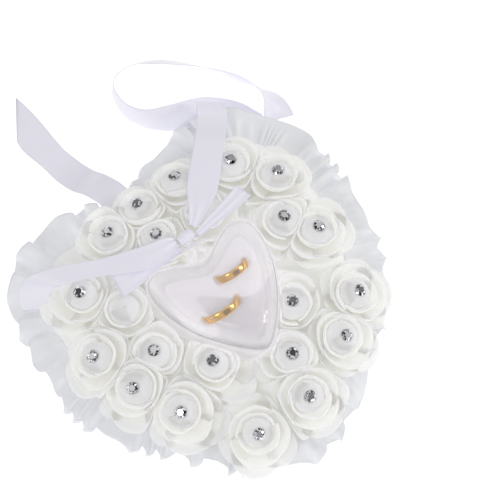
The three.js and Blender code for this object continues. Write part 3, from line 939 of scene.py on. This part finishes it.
def lid():
    bm = bmesh.new()
    low = split + 0.15 * MM
    rings = [ring_of(bm, box_heart(box_steps), low),
             ring_of(bm, box_heart(box_steps), split + rim_tall),
             ring_of(bm, box_heart(box_steps, -flange), split + rim_tall + 0.1 * MM)]
    full = 3.4
    tall = lid_high.z - split - rim_tall - 0.1 * MM
    for k in range(1, 17):
        a = math.pi / 2 * (k / 16) ** 0.8
        share = max(math.cos(a) ** (2 / full), 0.05)
        up = math.sin(a) ** (2 / full)
        rings.append(ring_of(bm, box_heart(box_steps, -flange, share),
                             split + rim_tall + 0.1 * MM + up * tall))
    skin(bm, rings, cap_first=False)
    piece = finish_piece("clear_lid", bm, clear_plastic, ["ring_box_lid"], body="lid")
    thicken(piece, wall_thick)
    apply_modifiers(piece)
    bm = bmesh.new()
    bm.from_mesh(piece.data)
    tab(bm, -2.2 * MM, 2.2 * MM, low, split + rim_tall)
    knuckle(bm, -2.2 * MM, 2.2 * MM)
    bm.to_mesh(piece.data)
    bm.free()
    piece.visible_shadow = False


tray()
lid()
pin = frame["nodes"]["hinge_pin"]
pin.data.materials.clear()
pin.data.materials.append(pin_plastic)
print("box", round((lid_high.z - tray_low.z) / MM, 1), "mm tall")
print("hinge at y", round(hinge_y / MM, 1))

# %% [markdown]
# ## Ring pad and bands
# The pad is foam under satin, cut through with a slit for each band. A slit closes again inside
# its band, so a piece of foam is added there, small enough to stay clear when the band is lifted.
# A voxel remesh melts the facets of the CAD pad together, and smoothing rounds the lips of the
# slits as the cloth drawn over them does. The bands are spun from a court section, domed outside
# and softly rounded inside.

# %% Pad
def band_lean(body):
    """How far a band leans about X: the angle of the line it is lifted along."""
    slide = next(j["axis"] for j in frame["joints"] if j["child"] == body)
    return math.atan2(-slide[1], slide[2])


def slit_foam(bm, node, body, top):
    """The foam a slit keeps inside its band: what lies in the hole both at rest and lifted."""
    low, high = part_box(node)
    inside_band, rise, foam_half = 2.4 * MM, 4 * MM, 2.7 * MM
    radius = (high.x - low.x) / 2 - inside_band
    corner = math.acos(rise / 2 / radius)
    outline = []
    for k in range(33):
        a = math.pi / 2 - corner + 2 * corner * k / 32
        outline.append((radius * math.cos(a), radius * math.sin(a)))
    outline += [(-x, rise - y) for x, y in outline[1:-1]]
    sides = [[bm.verts.new((x, y, z)) for x, z in outline] for y in (-foam_half, foam_half)]
    loops = [[bm.edges.new((p, q)) for p, q in zip(side, side[1:] + side[:1])] for side in sides]
    made = sides[0] + sides[1]
    bmesh.ops.bridge_loops(bm, edges=loops[0] + loops[1])
    for loop in loops:
        bmesh.ops.edgeloop_fill(bm, edges=loop)
    place = Matrix.Translation((low + high) / 2) @ Matrix.Rotation(band_lean(body), 4, "X")
    bmesh.ops.transform(bm, verts=made, matrix=place)
    geom = made + list({e for v in made for e in v.link_edges})
    geom += list({f for v in made for f in v.link_faces})
    cut = bmesh.ops.bisect_plane(bm, geom=geom, plane_co=(0, 0, top), plane_no=(0, 0, 1),
                                 clear_outer=True)["geom_cut"]
    bmesh.ops.edgeloop_fill(bm, edges=[e for e in cut if isinstance(e, bmesh.types.BMEdge)])


def ring_pad():
    bm = copy_of("ring_pad")
    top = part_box("ring_pad")[1].z - 0.3 * MM
    slit_foam(bm, "ring_large", "large_band", top)
    slit_foam(bm, "ring_small", "small_band", top)
    bmesh.ops.recalc_face_normals(bm, faces=bm.faces)
    piece = finish_piece("satin_pad", bm, pad_satin, ["ring_pad"])
    melt(piece, 0.9 * MM)
    apply_modifiers(piece)
    bm = bmesh.new()
    bm.from_mesh(piece.data)
    smoothing_rounds = 7
    for _ in range(smoothing_rounds):
        bmesh.ops.smooth_vert(bm, verts=bm.verts, factor=0.5, use_axis_x=True, use_axis_y=True,
                              use_axis_z=True)
    bm.to_mesh(piece.data)
    bm.free()
    shade(piece.data)
    print("pad", triangles(piece), "triangles")


ring_pad()


# %% Bands
def wedding_band(node, body):
    low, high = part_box(node)
    middle = (low + high) / 2
    outer = (high.x - low.x) / 2
    inner, half = outer - 1.5 * MM, 2 * MM
    bm = bmesh.new()
    section = []
    for k in range(24):
        a = 2 * math.pi * k / 24
        c, s = math.cos(a), math.sin(a)
        depth = (outer - inner) / 2
        r = (outer + inner) / 2 + depth * math.copysign(abs(c) ** 0.75, c)
        section.append(bm.verts.new((r, half * math.copysign(abs(s) ** 0.6, s), 0)))
    edges = [bm.edges.new((a, b)) for a, b in zip(section, section[1:] + section[:1])]
    bmesh.ops.spin(bm, geom=section + edges, cent=(0, 0, 0), axis=(0, 1, 0), dvec=(0, 0, 0),
                   angle=2 * math.pi, steps=120, use_merge=True, use_duplicate=False)
    bmesh.ops.recalc_face_normals(bm, faces=bm.faces)
    bmesh.ops.transform(bm, verts=bm.verts, matrix=Matrix.Translation(middle)
                        @ Matrix.Rotation(band_lean(body), 4, "X"))
    return finish_piece("gold_" + node, bm, gold, [node], body=body)


wedding_band("ring_large", "large_band")
wedding_band("ring_small", "small_band")
print("bands made")

# %% [markdown]
# ## Ribbon
# The bow, its ends and both tails are one kind of satin ribbon. Each stretch is a grid bent along
# a smooth line through the places where the ribbon goes, with its width turned to a heading and a
# slope at each place. Close to the knot the ribbon is pinched into lengthwise creases, which fade
# as it opens to its full width.

# %% Ribbon stretches
def smooth_line(stations, t):
    """Catmull-Rom through rows of numbers; t runs from 0 to 1."""
    rows = np.array(stations, float)
    k = min(int(t * (len(rows) - 1)), len(rows) - 2)
    f = t * (len(rows) - 1) - k
    before = rows[k - 1] if k else 2 * rows[0] - rows[1]
    after = rows[k + 2] if k + 2 < len(rows) else 2 * rows[-1] - rows[-2]
    a, b = rows[k], rows[k + 1]
    return 0.5 * (2 * a + (b - before) * f + (2 * before - 5 * a + 4 * b - after) * f ** 2
                  + (3 * a - before - 3 * b + after) * f ** 3)


def ribbon(name, node, stations, creases=2, ripple=0.0, crease_depth=0.4):
    """stations: x, y, z in mm, heading and slope of the width in degrees, width in mm."""
    rows = np.array(stations, float)
    run = float(np.linalg.norm(np.diff(rows[:, :3], axis=0), axis=1).sum())

    def shape(u, v):
        x, y, z, heading, slope, width = smooth_line(rows, u)
        ahead = smooth_line(rows, min(u + 0.01, 1))[:3] - smooth_line(rows, max(u - 0.01, 0))[:3]
        turn, tilt = math.radians(heading), math.radians(slope)
        side = Vector((math.cos(tilt) * math.cos(turn), math.cos(tilt) * math.sin(turn),
                       math.sin(tilt)))
        up = Vector(ahead).cross(side).normalized()
        if up.z < 0 and abs(slope) < 40:
            up = -up
        across = v - 0.5
        pinch = max(0.0, 1 - width / 15)
        lift = pinch * crease_depth * 1.1 * math.cos(creases * 2 * math.pi * across)
        lift += ripple * math.sin(2 * math.pi * u * run / 34) * (0.6 + across)
        return (Vector((x, y, z)) + side * across * width + up * lift) * MM

    bm = cloth(max(24, int(run / 1.2)), 20, shape)
    piece = finish_piece(name, bm, ribbon_satin, [node])
    thicken(piece, 0.28 * MM, 0)
    print(name, round(run), "mm long")
    return piece


W = 15
ribbon("bow_band_left", "bow_loop_left", [
    (-4, 31.6, 37.4, 90, 0, 5), (-9, 31.6, 39, 95, 0, 9), (-20, 32.8, 39.3, 98, 0, 13),
    (-34, 37.5, 39.4, 112, 0, W), (-46, 43.5, 39.4, 118, 0, W), (-57, 48.5, 39.2, 118, 0, W),
    (-68.5, 53, 35.5, 125, 0, W), (-74, 52, 26, 140, 0, W), (-74.5, 48, 18, 150, 0, W),
], ripple=0.25)
ribbon("bow_band_right", "bow_loop_right", [
    (7.2, 33, 37.8, 115, 0, 4), (12.5, 36.8, 39.3, 130, 0, 8), (22, 46, 39.3, 137, 0, W),
    (32, 56.5, 39, 137, 0, W), (42, 67, 37, 138, 0, W), (49.5, 76, 30, 140, 0, W),
    (54, 83, 21, 142, 0, W), (58, 90, 13, 142, 0, W),
], ripple=0.25)
ribbon("bow_end_left_satin", "bow_end_left", [
    (-4, 28.2, 36.2, 80, 0, 3.6), (-10, 28, 37.3, 88, 0, 5), (-20, 27.8, 37.9, 90, 0, 6),
    (-30, 27.8, 38, 95, 0, 9), (-40, 29.2, 38.2, 80, 0, 13),
])
ribbon("bow_end_right_satin", "bow_end_right", [
    (7, 28.4, 36.9, 95, 0, 3.2), (13, 29.2, 38.2, 92, 0, 4.6), (23, 30.4, 38.9, 98, 0, 6.5),
    (31, 31.8, 38.6, 105, 0, 8), (38, 33.6, 38, 110, 0, 9),
])
ribbon("tail_left", "ribbon_tail_left", [
    (-10, 70.5, 15.6, 5, 0, W), (-11.5, 79, 15, 8, 0, W), (-14, 88, 11, 10, 0, W),
    (-16.5, 96, 4, 12, 0, W), (-19, 106, 0.8, 13, 0, W), (-21.5, 120, 0.8, 16, 0, W),
    (-24, 144, 0.8, 57, 0, 24),
], ripple=0.15)
curl = [
    (73, 68, 45, 0), (68, 80, 60, 2), (56, 90, 70, 20), (40, 96, 70, 48), (28, 103, 50, 75),
    (22, 114, 5, 85), (24, 127, -40, 85), (36, 131.5, -88, 72), (50, 126, -120, 58),
    (66, 111, -138, 66), (79, 92, -155, 80), (86, 78, -170, 52), (84, 66, -200, 0),
]
ribbon("tail_right", "ribbon_tail_right", [
    (x, y, 0.8 + W / 2 * math.sin(math.radians(slope)), heading, slope, W)
    for x, y, heading, slope in curl
])


# %% Knot
def bow_knot():
    """The ribbon's wrap round the crossing: a short wide band, bulging, with its own creases."""
    low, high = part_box("bow_knot")
    middle, half = (low + high) / 2, (high - low) / 2

    def shape(u, v):
        a = 2 * math.pi * u
        across = (v - 0.5) * 2
        swell = 0.98 - 0.42 * abs(across) ** 2
        crease = 1 + 0.05 * math.cos(2.5 * math.pi * across + 1.6 * math.sin(a))
        return middle + Vector((0.86 * half.x * across, half.y * swell * crease * math.cos(a),
                                half.z * swell * crease * math.sin(a)))

    bm = cloth(56, 24, shape, closed=True)
    bmesh.ops.recalc_face_normals(bm, faces=bm.faces)
    area = sum(f.calc_area() for f in bm.faces)
    piece = finish_piece("bow_knot_wrap", bm, ribbon_satin, ["bow_knot"])
    thicken(piece, 0.28 * MM)


bow_knot()
